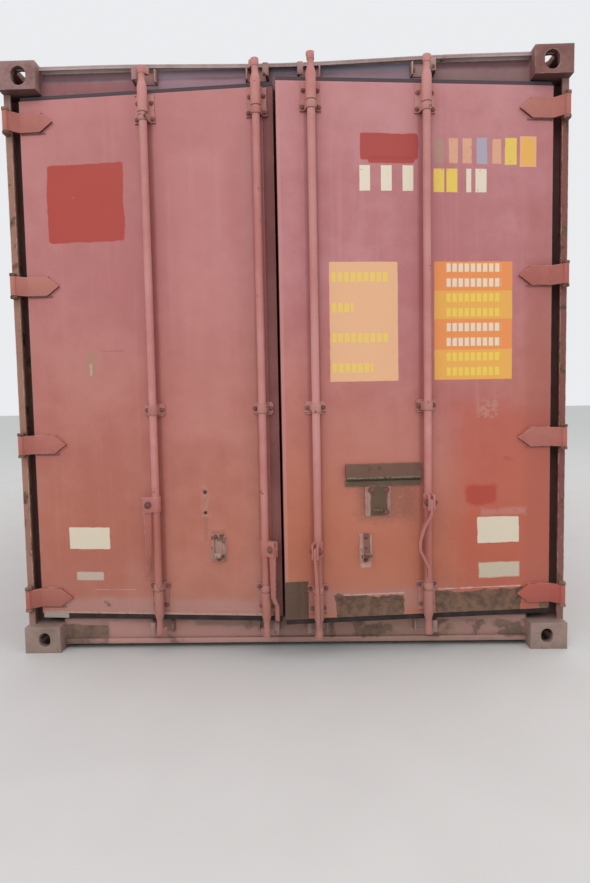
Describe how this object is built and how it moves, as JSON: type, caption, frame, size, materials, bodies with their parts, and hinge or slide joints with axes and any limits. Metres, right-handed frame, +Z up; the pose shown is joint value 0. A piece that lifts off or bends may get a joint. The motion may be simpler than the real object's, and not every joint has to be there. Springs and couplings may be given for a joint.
{
  "type": "twenty-foot shipping container",
  "caption": "Steel twenty-foot shipping container with flat doors ajar, corner castings, corrugated walls and working doors, lock rods and handles.",
  "frame": {"origin": "bottom centre of the box that holds the container with its doors ajar, at the level of the lower corner castings' feet", "axes": "+X to the right as seen facing the doors, +Y from the door end to the closed end, +Z up"},
  "size_m": [2.438, 6.2047, 2.591],
  "materials": {
    "door_paint": "matt",
    "frame_paint": "matt",
    "gear_paint": "matt",
    "rusty_steel": "rough",
    "rubber": "matt",
    "plywood": "matt"
  },
  "bodies": {
    "container": {"door_end_castings": "frame_paint", "closed_end_castings": "frame_paint", "door_post_outer_sections": "frame_paint", "door_post_inner_channels": "frame_paint", "hinge_lugs_and_pins": "rusty_steel", "door_header": "frame_paint", "door_header_lip": "frame_paint", "door_sill": "frame_paint", "door_sill_lip": "frame_paint", "cam_keepers": "rusty_steel", "closed_end_posts": "frame_paint", "closed_end_top_rail": "frame_paint", "closed_end_bottom_rail": "frame_paint", "closed_end_wall": "frame_paint", "top_side_rails": "frame_paint", "bottom_side_rails": "frame_paint", "left_side_wall": "frame_paint", "right_side_wall": "frame_paint", "roof_panel": "frame_paint", "floor_cross_members": "frame_paint", "forklift_pockets": "frame_paint", "plywood_floor": "plywood", "side_ventilators": "frame_paint"},
    "left_door": {"left_door_skin": "door_paint", "left_door_frame": "door_paint", "left_door_board": "plywood", "left_door_seal": "rubber", "left_door_hinge_blades": "gear_paint", "left_door_rod_brackets": "gear_paint", "left_door_handle_catch": "rusty_steel"},
    "right_door": {"right_door_skin": "door_paint", "right_door_frame": "door_paint", "right_door_board": "plywood", "right_door_seal": "rubber", "right_door_hinge_blades": "gear_paint", "right_door_rod_brackets": "gear_paint", "right_door_handle_catches": "rusty_steel", "right_door_rain_hood": "rusty_steel"},
    "rod_1": {"lock_rod_1": "gear_paint"},
    "lever_1": {"handle_1": "gear_paint"},
    "rod_2": {"lock_rod_2": "gear_paint"},
    "lever_2": {"handle_2": "gear_paint"},
    "rod_3": {"lock_rod_3": "gear_paint"},
    "lever_3": {"handle_3": "gear_paint"},
    "rod_4": {"lock_rod_4": "gear_paint"},
    "lever_4": {"handle_4": "gear_paint"}
  },
  "joints": [
    {"name": "left_door_hinge", "type": "hinge", "parent": "container", "child": "left_door", "pos_m": [-1.201, -2.93858, 1.3], "axis": [0, 0, -1], "range_deg": [-4, 256]},
    {"name": "right_door_hinge", "type": "hinge", "parent": "container", "child": "right_door", "pos_m": [1.201, -2.93858, 1.3], "axis": [0, 0, 1], "range_deg": [-6, 254]},
    {"name": "rod_1_turn", "type": "hinge", "parent": "left_door", "child": "rod_1", "pos_m": [-0.59678, -2.97081, 1.3], "axis": [0, 0, -1], "range_deg": [-146, 19]},
    {"name": "handle_1_lift", "type": "hinge", "parent": "rod_1", "child": "lever_1", "pos_m": [-0.63315, -2.99181, 0.68], "axis": [0.5, -0.866, 0], "range_deg": [-90, 0]},
    {"name": "rod_2_turn", "type": "hinge", "parent": "left_door", "child": "rod_2", "pos_m": [-0.11396, -3.00457, 1.3], "axis": [0, 0, 1], "range_deg": [-146, 19]},
    {"name": "handle_2_lift", "type": "hinge", "parent": "rod_2", "child": "lever_2", "pos_m": [-0.08086, -3.03043, 0.484], "axis": [0.6157, 0.788, 0], "range_deg": [-90, 0]},
    {"name": "rod_3_turn", "type": "hinge", "parent": "right_door", "child": "rod_3", "pos_m": [0.11692, -3.04247, 1.3], "axis": [0, 0, -1], "range_deg": [-110, 55]},
    {"name": "handle_3_lift", "type": "hinge", "parent": "rod_3", "child": "lever_3", "pos_m": [0.10676, -3.08322, 0.484], "axis": [0.9703, -0.2419, 0], "range_deg": [-90, 0]},
    {"name": "rod_4_turn", "type": "hinge", "parent": "right_door", "child": "rod_4", "pos_m": [0.59827, -2.99188, 1.3], "axis": [0, 0, 1], "range_deg": [-55, 75]},
    {"name": "handle_4_lift", "type": "hinge", "parent": "rod_4", "child": "lever_4", "pos_m": [0.60266, -3.03365, 0.68], "axis": [0.9945, 0.1045, 0], "range_deg": [-90, 0]}
  ]
}
